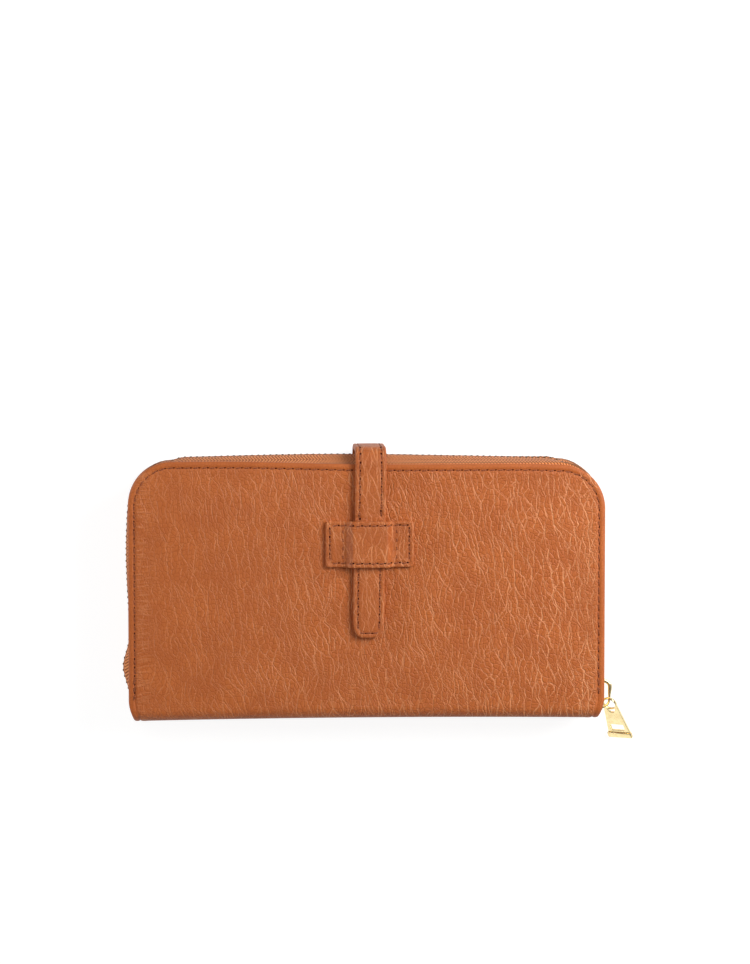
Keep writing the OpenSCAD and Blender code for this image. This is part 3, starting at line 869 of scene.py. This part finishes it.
def slider_shape(centre, out, up, long, wide, channel, plate, flange):
    """Two plates with turned-in sides. out points away from the wallet and up along the zip."""
    across = up.cross(out)
    turn = Matrix((across, up, out)).transposed()
    shape = Shape()
    for sign in (1, -1):
        mesh = cut_plate([shield(long, wide, wide * 0.86, 0.9)], plate, plate * 0.3)
        place = Matrix.Translation(centre + out * (sign * (channel + plate / 2))) @ turn.to_4x4()
        shape.append(mesh, place)
        bpy.data.meshes.remove(mesh)
        for edge in (1, -1):
            rings = []
            for t in (-0.97, -0.9, -0.4, 0.1, 0.5, 0.62):
                half = wide * (0.93 + 0.07 * smooth((t + 1) / 1.4)) - flange / 2
                here = centre + up * (t * long) + across * (edge * (half - 0.05))
                here += out * (sign * (channel - 0.24))
                size = 0.7 if abs(t) > 0.95 or t > 0.6 else 1.0
                rings.append(super_ring(here, across, out, flange / 2 * size, 0.34 * size, 4.0, 12))
            shape.loft(rings)
    return shape


def wire(points, half_wide, thick_from, thick_to, wide_way, shape):
    """A rounded flat wire along points in a plane across wide_way. Its half thickness changes on the way."""
    rings = []
    count = len(points)
    for i, point in enumerate(points):
        way = (points[min(i + 1, count - 1)] - points[max(i - 1, 0)]).normalized()
        half_thick = thick_from + (thick_to - thick_from) * smooth((i / count - 0.4) / 0.25)
        up = way.cross(wide_way).normalized()
        rings.append(super_ring(point, wide_way, up, half_wide, half_thick, 2.6, 12))
    shape.loft(rings)


def bridge_points(foot, up, out, half, height, round_by):
    """Path of a bridge: out of the plate, along, and back into it."""
    path = [(-half, -0.25), (-half, 0.1)]
    path += arc(-half + round_by, height - round_by, round_by, 180, 90, 7)
    path += arc(half - round_by, height - round_by, round_by, 90, 0, 7)
    path += [(half, 0.1), (half, -0.25)]
    return [foot + up * a + out * b for a, b in path]


def curve_through(points, steps=6):
    """A smooth line through a few points."""
    ends = [points[0]] + points + [points[-1]]
    made = []
    for a, b, c, d in zip(ends, ends[1:], ends[2:], ends[3:]):
        for k in range(steps):
            t = k / steps
            bend = (c - a) * t + (2 * a - 5 * b + 4 * c - d) * t**2 + (3 * b - a - 3 * c + d) * t**3
            made.append(b + bend / 2)
    return made + [points[-1]]


slider_low, slider_high = box_mm("zip_slider_body")
slider_centre = (slider_low + slider_high) / 2
main_slider = slider_shape(slider_centre, X_WAY, Y_WAY, 6.2, 4.2, 1.0, 0.8, 1.2)
main_slider.mount("slider_body", gold, "gold_metal", "zip_slider", "zip_slider_body", sharp=38)

bridge_high = box_mm("zip_slider_bridge")[1]
bridge_bar = Vector((bridge_high.x - 0.55, slider_centre.y, slider_centre.z))
bridge_shape = Shape()
bridge_foot = Vector((slider_high.x, slider_centre.y, slider_centre.z))
BRIDGE_LINE = [
    (5.7, -0.25), (5.6, 0.7), (4.9, 2.5), (3.9, 3.35), (2.4, 3.5), (0, 3.3), (-2.6, 3.2), (-4.3, 2.5),
    (-5.4, 0.9), (-5.6, -0.25),
]
BRIDGE_SPAN = (bridge_bar.x - slider_high.x) / 3.3
bridge_line = curve_through([bridge_foot + Y_WAY * a + X_WAY * (b * BRIDGE_SPAN) for a, b in BRIDGE_LINE])
wire(bridge_line, 0.95, 0.85, 0.45, Z_WAY, bridge_shape)
bridge_shape.mount("slider_bridge", gold, "gold_metal", "zip_slider", "zip_slider_bridge", sharp=50)


def pull_outline(length, eye, tip_half):
    """A round eye, and a blade that widens to its tip."""
    corners = [(-tip_half, -length), (tip_half, -length), (eye, -eye * 0.3), (-eye, -eye * 0.3)]
    return arc(0, 0, eye, -14, 194, 26) + rounded_loop(corners, 0.7, 5)[:12]


PULL_PITCH, PULL_ROLL, PULL_TURN = 34.5, -33.5, 0.6
PULL_LENGTH, PULL_HALF, EYE_OFFSET, EYE_RING = 18.5, 5.5, 0.5, 2.8
pull_hinge = Vector((bridge_bar.x, slider_centre.y - 3.6, slider_centre.z))
pull_place = (
    Matrix.Translation(pull_hinge)
    @ Matrix.Rotation(math.radians(PULL_TURN), 4, "Z")
    @ Matrix.Rotation(math.radians(PULL_ROLL), 4, "Y")
    @ Matrix.Rotation(math.radians(PULL_PITCH), 4, "X")
    @ Matrix.Translation((0, -EYE_OFFSET, 0))
)


def main_pull():
    """A flat pull: a long eye, a window and a thick lip across its tip."""
    eye = arc(0, 0, 2.45, -8, 188, 20) + arc(0, -3.2, 1.5, 200, 340, 12)
    window = rounded_loop([(-3.0, -14.7), (3.0, -14.7), (3.0, -11.5), (-3.0, -11.5)], 0.35, 3)
    mesh = cut_plate([pull_outline(PULL_LENGTH - 0.4, 3.15, PULL_HALF - 0.15), eye, window], 0.95, 0.2)
    shape = Shape()
    shape.append(mesh, pull_place)
    bpy.data.meshes.remove(mesh)
    turn = pull_place.to_3x3()
    side, up, along = turn @ X_WAY, turn @ Z_WAY, turn @ Y_WAY
    lip = pull_place @ Vector((0, -PULL_LENGTH + 1.4, 0.35))
    lip_steps = both_ways(PULL_HALF, ((1.0, 0.7), (0.97, 0.92), (0.9, 1.0)))
    shape.bar(lip, side, along, up, 1.4, 0.76, lip_steps, 4.5, 20)
    rings = []
    for i in range(33):
        a = 2 * math.pi * i / 32
        here = Vector((EYE_RING * math.cos(a), EYE_RING * math.sin(a), 0))
        way = Vector((math.cos(a), math.sin(a), 0))
        rings.append(super_ring(pull_place @ here, turn @ way, up, 0.36, 0.56, 2.4, 10))
    shape.loft(rings[:-1] + [rings[0]], caps=False)
    shape.mount("slider_pull", gold, "gold_metal", "zip_pull", "zip_pull_tab", sharp=38)


main_pull()

coin_low, coin_high = box_mm("coin_slider_body")
coin_bridge_low, coin_bridge_high = box_mm("coin_slider_bridge")
COIN_TOP = 33.0
COIN_PULL_TURN, COIN_PULL_DROP = 21.5, 25.0
coin_centre = Vector(((coin_low.x + coin_high.x) / 2, COIN_TOP - 0.2, (coin_low.z + coin_high.z) / 2))
coin_slider = slider_shape(coin_centre, Y_WAY, X_WAY, 3.9, 2.6, 0.82, 0.56, 0.8)
coin_slider.mount("coin_slider_plates", gold, "gold_metal", "coin_slider", "coin_slider_body", sharp=38)
coin_bar_y = coin_bridge_high.y - 0.4
coin_bridge_shape = Shape()
coin_foot = Vector((coin_centre.x, coin_centre.y + 1.35, coin_centre.z))
coin_half = (coin_bridge_high.x - coin_bridge_low.x) / 2 - 0.4
coin_bridge_line = bridge_points(coin_foot, X_WAY, Y_WAY, coin_half, coin_bar_y - coin_foot.y, 0.9)
wire(coin_bridge_line, 0.42, 0.38, 0.38, Z_WAY, coin_bridge_shape)
coin_bridge_shape.mount("coin_bridge", gold, "gold_metal", "coin_slider", "coin_slider_bridge", sharp=50)


def coin_pull():
    place = (
        Matrix.Translation((coin_centre.x, coin_bar_y, coin_centre.z))
        @ Matrix.Rotation(math.radians(-90 - COIN_PULL_TURN), 4, "Z")
        @ Matrix.Rotation(math.radians(COIN_PULL_DROP), 4, "X")
    )
    mesh = cut_plate([pull_outline(12.0, 2.4, 2.6), arc(0, 0, 1.85, 0, 345, 23)], 0.7, 0.16)
    shape = Shape()
    shape.append(mesh, place)
    bpy.data.meshes.remove(mesh)
    shape.mount("coin_pull_plate", gold, "gold_metal", "coin_pull", "coin_pull_tab", sharp=38)


coin_pull()


# ---- strap and keeper ----

ARCH_Y, ARCH_TOP_R, ARCH_LOW_R, ARCH_LOW_Z, ROOT_Y = TOP + 5.9, 5.8, 4.2, 5.7, 44.0
TONGUE = ARCH_Y - ARCH_TOP_R - STRAP_TIP
TOP_TURN = ARCH_TOP_R * math.pi / 2
RISE = (STRAP_Z - ARCH_TOP_R) - ARCH_LOW_Z
LOW_TURN = ARCH_LOW_R * math.pi / 2
ROOT = ARCH_Y - ARCH_LOW_R - ROOT_Y
STRAP_RUN = TONGUE + TOP_TURN + RISE + LOW_TURN + ROOT


def strap_line(s):
    """(y, z) of the strap's middle line and the way out of it, from the tip to the root."""
    if s < TONGUE:
        return STRAP_TIP + s, STRAP_Z, 0.0, 1.0
    s -= TONGUE
    if s < TOP_TURN:
        a = math.pi / 2 - s / ARCH_TOP_R
        y, z = ARCH_Y - ARCH_TOP_R, STRAP_Z - ARCH_TOP_R
        return y + ARCH_TOP_R * math.cos(a), z + ARCH_TOP_R * math.sin(a), math.cos(a), math.sin(a)
    s -= TOP_TURN
    if s < RISE:
        return ARCH_Y, STRAP_Z - ARCH_TOP_R - s, 1.0, 0.0
    s -= RISE
    if s < LOW_TURN:
        a = -s / ARCH_LOW_R
        y, z = ARCH_Y - ARCH_LOW_R, ARCH_LOW_Z
        return y + ARCH_LOW_R * math.cos(a), z + ARCH_LOW_R * math.sin(a), math.cos(a), math.sin(a)
    s -= LOW_TURN
    return ARCH_Y - ARCH_LOW_R - s, ARCH_LOW_Z - ARCH_LOW_R, 0.0, -1.0


def strap_point(u, s, depth):
    y, z, out_y, out_z = strap_line(s)
    skive = 1 - 0.76 * smooth((s - (TONGUE + TOP_TURN + RISE)) / (LOW_TURN * 0.95))
    lean = 0.5 * smooth((y + 21) / 78) * 2 - 0.5
    ripple = 0.0
    if s < TONGUE:
        ripple = 0.10 * bell(y, 30.0, 3.2) * math.sin(y * 2.6 + 0.5 * u)
    ripple += 0.05 * soft_noise(u / 6, s / 9, 4.4)
    height = (1.2 - depth + (ripple if depth < 1.2 else 0)) * skive
    u *= 1 - 0.13 * (1 - smooth(s / 8))
    return Vector((STRAP_X + lean + u, y + out_y * height, z + out_z * height))


strap_shape = Shape()
strap_plate = Plate(STRAP_HALF, 0.0, STRAP_RUN, 4.0, 0.4, (0.6, 0.6))
strap_plate.fill(strap_shape, strap_point, [
    (1.1, 2.4), (0.5, 2.34), (0.14, 2.1), (0.0, 1.75), (0.02, 1.36), (0.2, 1.2), (0.02, 1.04), (0.0, 0.7),
    (0.1, 0.34), (0.4, 0.06), (0.9, -0.02), (1.35, 0.02), (1.65, 0.13), (1.9, 0.2), (2.15, 0.13), (2.45, 0.0),
    (3.1, -0.05),
])
strap_piece = strap_shape.build("strap_leather", strap_leather, "outer_leather")
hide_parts("strap_outer", "strap_lining")
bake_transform(strap_piece)


def strap_seams():
    threads, holes = Shape(), Shape()
    edge = STRAP_HALF - 1.9

    def surface(u, s):
        here = strap_point(u, s, 0.16)
        ahead = strap_point(u, s + 0.2, 0.16)
        out_y, out_z = strap_line(s)[2:]
        return here, (ahead - here).normalized(), Vector((0, out_y, out_z))

    end = TONGUE + TOP_TURN + RISE
    for side in (-1, 1):
        seam(threads, holes, lambda s: surface(side * edge, s), 3.4, end, 3.3, length=2.4, slant=9.0 * side)
    for u in (-2.9, 0.0, 2.9):
        here, along, out = surface(u, 2.2)
        stitch(threads, holes, here, X_WAY, out, 2.3, 0.6, 0.0)
    stitches = threads.build("strap_stitches", thread, "thread")
    pricks = holes.build("strap_needle_holes", needle_hole_shade, "thread")
    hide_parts("strap_stitching")
    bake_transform(stitches)
    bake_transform(pricks)


strap_seams()


def keeper_top(x):
    """Height of the keeper's outer face: two feet and a raised middle."""
    return DEPTH + 2.0 + 2.9 * (1 - smooth((abs(x) - 6.7) / 3.2))


def keeper_point(x, y, depth):
    drape = 0.06 * soft_noise(x / 7, y / 7, 6.1) if depth < 1 else 0.0
    return Vector((STRAP_X + x, KEEPER_Y + y, keeper_top(x) - depth + drape))


keeper_shape = Shape()
keeper_plate = Plate(KEEPER_HALF_X, -KEEPER_HALF_Y, KEEPER_HALF_Y, 1.3, 1.3, (0.45, 0.5))
keeper_plate.fill(keeper_shape, keeper_point, [
    (0.95, 2.0), (0.4, 1.95), (0.1, 1.75), (0.0, 1.45), (0.02, 1.14), (0.18, 1.0), (0.02, 0.86), (0.0, 0.55),
    (0.1, 0.26), (0.38, 0.05), (0.8, -0.03), (1.25, 0.02), (1.55, 0.13), (1.8, 0.19), (2.05, 0.13),
    (2.35, 0.0), (3.0, -0.06),
])
keeper_nodes = ("keeper_outer", "keeper_lining")
keeper_shape.mount("keeper_leather", strap_leather, "outer_leather", "front_cover", *keeper_nodes)


def keeper_seams():
    """A row near each long edge, and a row across each foot at both of its ends."""
    threads, holes = Shape(), Shape()
    reach_x, reach_y, inner = KEEPER_HALF_X - 1.8, KEEPER_HALF_Y - 1.8, 11.0

    def surface(x, y, way):
        here = keeper_point(x, y, 0.14)
        ahead = keeper_point(x + way.x * 0.2, y + way.y * 0.2, 0.14)
        along = (ahead - here).normalized()
        out = Z_WAY if way.y else along.cross(Y_WAY).normalized()
        return here, along, out if out.z > 0 else -out

    for y in (-reach_y, reach_y):
        seam(threads, holes, lambda s: surface(s, y, X_WAY), -reach_x + 0.6, reach_x - 0.6, 3.2, length=2.3)
    for x in (-reach_x, -inner, inner, reach_x):
        seam(threads, holes, lambda s: surface(x, s, Y_WAY), -reach_y + 0.8, reach_y - 0.8, 3.2, length=2.3)
    sew_on("keeper", threads, holes, "front_cover", "keeper_stitching")


keeper_seams()


# ---- inside ----


CARD_HALF, CARD_LOW, CARD_THICK = 79.0, -42.0, 0.4
CARD_TOPS = [34.0, 25.0, 16.0, 7.0]
INSIDE_STITCH = {"pitch": 2.8, "length": 2.0, "wide": 0.4, "slant": 6.0}


def layer(plate, face_z, thick, facing, groove=0.0, waves=0.0):
    """A thin sheet parallel to the covers. face_z is its outer face and facing its side, 1 up and -1 down."""
    def place(x, y, depth):
        lift = waves * soft_noise(x / 24, y / 16, face_z) if depth < thick / 2 else 0.0
        return Vector((x, y, face_z - facing * (depth - lift)))

    profile = rounded_rim(thick)
    if groove:
        profile += [(1.3, 0.0), (1.6, groove), (1.9, 0.0), (3.0, 0.0)]
    shape = Shape()
    plate.fill(shape, place, profile)
    return shape


def cover_inside(name, body, facing):
    """Lining, card backing and four card pockets of a cover. facing is 1 for the back cover."""
    def level(height):
        return height if facing > 0 else DEPTH - height

    cloth = Plate(ZIP_HALF - 0.5, BEND + 0.5, ZIP_TOP - 0.5, 0.6, 16.0, (2.5, 2.5))
    shape = layer(cloth, level(LINED), 0.6, facing, waves=0.04)
    shape.mount(f"{name}_lining_cloth", lining_cloth, "lining", body, f"{name}_lining")
    sheets = [("back", "backing", CARD_TOPS[0] + 6)]
    sheets += [(f"slot_{i + 1}", f"pocket_{i + 1}", top) for i, top in enumerate(CARD_TOPS)]
    for i, (piece, node, top) in enumerate(sheets):
        card = Plate(CARD_HALF, CARD_LOW, top, 0.6, 0.8, (4.0, 4.0))
        shape = layer(card, level(LINED + CARD_THICK * (i + 1)), CARD_THICK, facing, 0.07)
        shape.mount(f"{name}_card_{piece}", inner_leather, "inner_leather", body, f"{name}_card_{node}")
    threads, holes = Shape(), Shape()

    def surface(x, y, along):
        layers = 1 + sum(1 for top in CARD_TOPS if y < top)
        return Vector((x, y, level(LINED + CARD_THICK * layers))), along, Z_WAY * facing

    low = CARD_LOW + 2.4
    for x in (-CARD_HALF + 2.4, -0.6, 0.6, CARD_HALF - 2.4):
        seam(threads, holes, lambda s: surface(x, s, Y_WAY), low, CARD_TOPS[0] + 3.5, **INSIDE_STITCH)
    seam(threads, holes, lambda s: surface(s, low, X_WAY), -CARD_HALF + 2.6, CARD_HALF - 2.6, **INSIDE_STITCH)
    sew_on(f"{name}_card", threads, holes, body)


cover_inside("back", "back_cover", 1)
cover_inside("front", "front_cover", -1)

POCKET_HALF, POCKET_LOW, POCKET_DEPTH, WALL = 86.0, -46.0, 6.2, 0.8


def coin_wall(name, node, side):
    """One wall of the coin pocket with half of its ends and its bottom."""
    outer = MID + side * POCKET_DEPTH / 2
    shape = Shape()

    def face(x, y, depth):
        soft = 0.12 * soft_noise(x / 26, y / 18, side * 2.5) if depth < WALL / 2 else 0.0
        return Vector((x, y, outer - side * (depth + 0.06 - soft * smooth((POCKET_HALF - abs(x)) / 8))))

    profile = rounded_rim(WALL) + [(2.0, 0.0), (2.3, 0.09), (2.6, 0.0), (4.0, 0.0)]
    Plate(POCKET_HALF, POCKET_LOW, COIN_TOP, 1.0, 1.2, (3.0, 3.0)).fill(shape, face, profile)
    half = POCKET_DEPTH / 4 - 0.2
    rim = rounded_rim(WALL, 0.3)

    def bottom(x, z, depth):
        return Vector((x, POCKET_LOW + depth, outer - side * (WALL / 2 + half + z)))

    Plate(POCKET_HALF - 0.2, -half, half, 0.2, 0.2, (4.0, 0.6)).fill(shape, bottom, rim)
    for end in (-1, 1):
        def cheek(z, y, depth):
            return Vector((end * (POCKET_HALF - depth), y, outer - side * (WALL / 2 + half + z)))

        Plate(half, POCKET_LOW + 0.4, COIN_TOP - 0.3, 0.2, 0.2, (0.6, 4.0)).fill(shape, cheek, rim)
    shape.mount(name, inner_leather, "inner_leather", "centre", node)
    threads, holes = Shape(), Shape()

    def line(x):
        return Vector((x, COIN_TOP - 4.6, outer)), X_WAY, Z_WAY * side

    seam(threads, holes, line, -POCKET_HALF + 3, POCKET_HALF - 3, **INSIDE_STITCH)
    sew_on(name, threads, holes, "centre")


coin_wall("coin_wall_back", "coin_pocket_back_wall", -1)
coin_wall("coin_wall_front", "coin_pocket_front_wall", 1)


def coin_zip(side, name):
    """The coin pocket's tape and teeth on one side."""
    inner = MID + side * (POCKET_DEPTH / 2 - WALL)
    half = POCKET_HALF - WALL - 1
    shape = Shape()
    loop = [
        (-5.6, 0.05), (-0.5, 0.05), (-0.08, 0.25), (0.0, 1.0), (-0.02, 1.45), (-0.38, 1.45), (-0.4, 1.0),
        (-0.55, 0.4), (-5.6, 0.42),
    ]
    count = round(2 * half / 3)
    rings, flats = [], []
    for k in range(count + 1):
        x = half * (2 * k / count - 1)
        rings.append([Vector((x, COIN_TOP + y + 0.02, inner - side * z)) for y, z in loop])
        flats.append([(x, y + z, 0) for y, z in loop])
    shape.loft(rings, flats=flats)
    shape.mount(f"coin_{name}_tape", coin_tape_cloth, "zip_tape", "centre", f"coin_zip_{name}_tape")
    low, high = box_mm(f"coin_zip_{name}_teeth")
    pitch = 2.2
    teeth = Shape()
    for i in range(round((high.x - low.x - 1) / pitch) + 1):
        x = low.x + 0.5 + i * pitch
        rings = []
        for rise, half_along, half_through in TOOTH:
            centre = Vector((x, COIN_TOP - 0.2, MID - side * rise * 0.55))
            rings.append(super_ring(centre, X_WAY, Y_WAY, half_along * 0.85, half_through * 0.78, 3.2, 8))
        teeth.loft(rings)
    teeth.mount(f"coin_{name}_teeth", tooth_metal, "zip_metal", "centre", f"coin_zip_{name}_teeth", sharp=40)


coin_zip(-1, "back")
coin_zip(1, "front")


def coin_stops():
    low, high = box_mm("coin_zip_end_stops")
    shape = Shape()
    for x in (low.x + 0.7, high.x - 0.7):
        here = Vector((x, COIN_TOP - 0.2, MID))
        shape.bar(here, Z_WAY, X_WAY, Y_WAY, 0.7, 0.72, both_ways(1.5, COIN_STOP_STEPS))
    shape.mount("coin_stops", tooth_metal, "zip_metal", "centre", "coin_zip_end_stops", sharp=45)


coin_stops()


def spine_inside():
    low, high = box_mm("spine_lining")

    def place(x, z, depth):
        bow = SPINE_BOW * (1 - (x / HALF) ** 2)
        return Vector((x, high.y - depth + bow, MID + z))

    shape = Shape()
    half_z = (high.z - low.z) / 2
    Plate(high.x, -half_z, half_z, 0.8, 0.8, (3.0, 1.5)).fill(shape, place, rounded_rim(0.6))
    shape.mount("spine_lining_cloth", lining_cloth, "lining", "centre", "spine_lining")


spine_inside()

# a gusset's folds: three inward pleats between a cover and the coin pocket
PLEATS, PLEAT_DEEP = 3, 6.2
GUSSET_LOW, GUSSET_HIGH, GUSSET_OUT = -45.0, 33.0, 86.0


def gusset(cover, where, side, low_z, high_z):
    steps = PLEATS * 8
    line = []
    for i in range(steps + 1):
        t = i / steps
        fold = 0.5 - 0.5 * math.cos(2 * math.pi * PLEATS * t)
        line.append(Vector((side * (GUSSET_OUT - 0.3 - PLEAT_DEEP * fold), low_z + (high_z - low_z) * t)))
    shape = Shape()
    rows = round((GUSSET_HIGH - GUSSET_LOW) / 3)
    half_thick = 0.1
    rings, flats = [], []
    for k in range(rows + 1):
        y = GUSSET_LOW + (GUSSET_HIGH - GUSSET_LOW) * k / rows
        ring, flat, run = [], [], 0.0
        for i, point in enumerate(line):
            before, after = line[max(i - 1, 0)], line[min(i + 1, steps)]
            way = (after - before).normalized()
            run += (point - line[i - 1]).length if i else 0.0
            offset = Vector((way.y, -way.x)) * half_thick
            ring.append((point + offset, point - offset))
            flat.append(run)
        loop = [a for a, b in ring] + [b for a, b in reversed(ring)]
        rings.append([Vector((p.x, y, p.y)) for p in loop])
        flats.append([(y, r, 0) for r in flat + flat[::-1]])
    shape.loft(rings, flats=flats)
    piece = shape.build(f"{cover}_pleats_{where}", gusset_cloth, "gusset")
    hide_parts(f"{cover}_gusset_{where}")
    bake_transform(piece)


GUSSET_GAP = 0.15
GUSSET_FROM, GUSSET_TO = LINED + GUSSET_GAP, MID - POCKET_DEPTH / 2 - GUSSET_GAP
for side, where in ((-1, "left"), (1, "right")):
    gusset("back", where, side, GUSSET_FROM, GUSSET_TO)
    gusset("front", where, side, DEPTH - GUSSET_TO, DEPTH - GUSSET_FROM)

for name in ("back_stiffener", "front_stiffener"):
    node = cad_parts[name]
    node.data.materials.clear()
    node.data.materials.append(board)


# ---- stage ----


def pale_floor():
    mesh = bpy.data.meshes.new("floor")
    size, drop = 6.0, -0.00035
    corners = [(-size, -size), (size, -size), (size, size), (-size, size)]
    mesh.from_pydata([(x, y, drop) for x, y in corners], [], [(0, 1, 2, 3)])
    floor = bpy.data.objects.new("floor", mesh)
    bpy.context.collection.objects.link(floor)
    look = Look("floor", roughness=0.9, specular=0.1)
    look.shader.inputs["Base Color"].default_value = (0.25, 0.25, 0.25, 1)
    look.shader.inputs["Emission Color"].default_value = (1, 1, 1, 1)
    look.shader.inputs["Emission Strength"].default_value = 0.88
    mesh.materials.append(look.material)
    floor.visible_diffuse = False
    pale_wall(0.98 * size, look.material)


def pale_wall(radius, material):
    """A far ring that low views see behind the wallet. It neither lights nor shades anything."""
    steps, top = 48, 5.0
    spots = arc(0, 0, radius, 0, 360, steps)[:-1]
    points = [(x, y, z) for z in (-0.001, top) for x, y in spots]
    faces = [(i, (i + 1) % steps, steps + (i + 1) % steps, steps + i) for i in range(steps)]
    mesh = bpy.data.meshes.new("wall")
    mesh.from_pydata(points, [], faces)
    mesh.materials.append(material)
    wall = bpy.data.objects.new("wall", mesh)
    bpy.context.collection.objects.link(wall)
    wall.visible_diffuse = wall.visible_glossy = wall.visible_shadow = False


def area_light(name, place, target, size, power, colour=(1, 1, 1)):
    data = bpy.data.lights.new(name, "AREA")
    data.shape = "RECTANGLE"
    data.size, data.size_y = size
    data.energy = power
    data.color = colour
    light = bpy.data.objects.new(name, data)
    light.location = place
    light.rotation_euler = (Vector(target) - Vector(place)).to_track_quat("-Z", "Y").to_euler()
    bpy.context.collection.objects.link(light)


pale_floor()
WALLET, BOTTOM_RIGHT = (0, 0, 0.01), (0.1, -0.06, 0.01)
area_light("key", (0.46, 0.25, 0.42), WALLET, (0.36, 0.36), 5.0, (1.0, 0.99, 0.96))
area_light("fill", (-0.5, 0.6, 0.75), WALLET, (0.6, 0.6), 1.6, (1.0, 0.98, 0.95))
area_light("left", (-0.85, 0.1, 0.16), WALLET, (0.3, 0.5), 3.0)
area_light("low", (-0.5, -1.0, 0.22), BOTTOM_RIGHT, (1.6, 0.42), 1.8)

world = bpy.data.worlds.new("world")
world.use_nodes = True
world.node_tree.nodes["Background"].inputs["Color"].default_value = (1, 1, 1, 1)
world.node_tree.nodes["Background"].inputs["Strength"].default_value = 0.24
bpy.context.scene.world = world
bpy.context.scene.view_settings.view_transform = "Standard"


# ---- camera ----

LENS = 150.0
LONG_SIDE = 394.3
camera_data = bpy.data.cameras.new("camera")
camera_data.lens = LENS
camera_data.sensor_width = 36.0
camera_data.clip_end = 50.0
camera = bpy.data.objects.new("camera", camera_data)
target = Vector((3.5, 43.0, 18.0)) * MM
distance = LONG_SIDE * MM / 2 / math.tan(math.atan(18.0 / LENS))
tilt_up, tilt_left = math.radians(5.0), math.radians(3.2)
away = Vector((-math.sin(tilt_left), math.sin(tilt_up), 1)).normalized()
camera.location = target + away * distance
right = Vector((0, 1, 0)).cross(away).normalized()
camera.rotation_euler = Matrix((right, away.cross(right), away)).transposed().to_euler()
bpy.context.collection.objects.link(camera)
bpy.context.scene.camera = camera
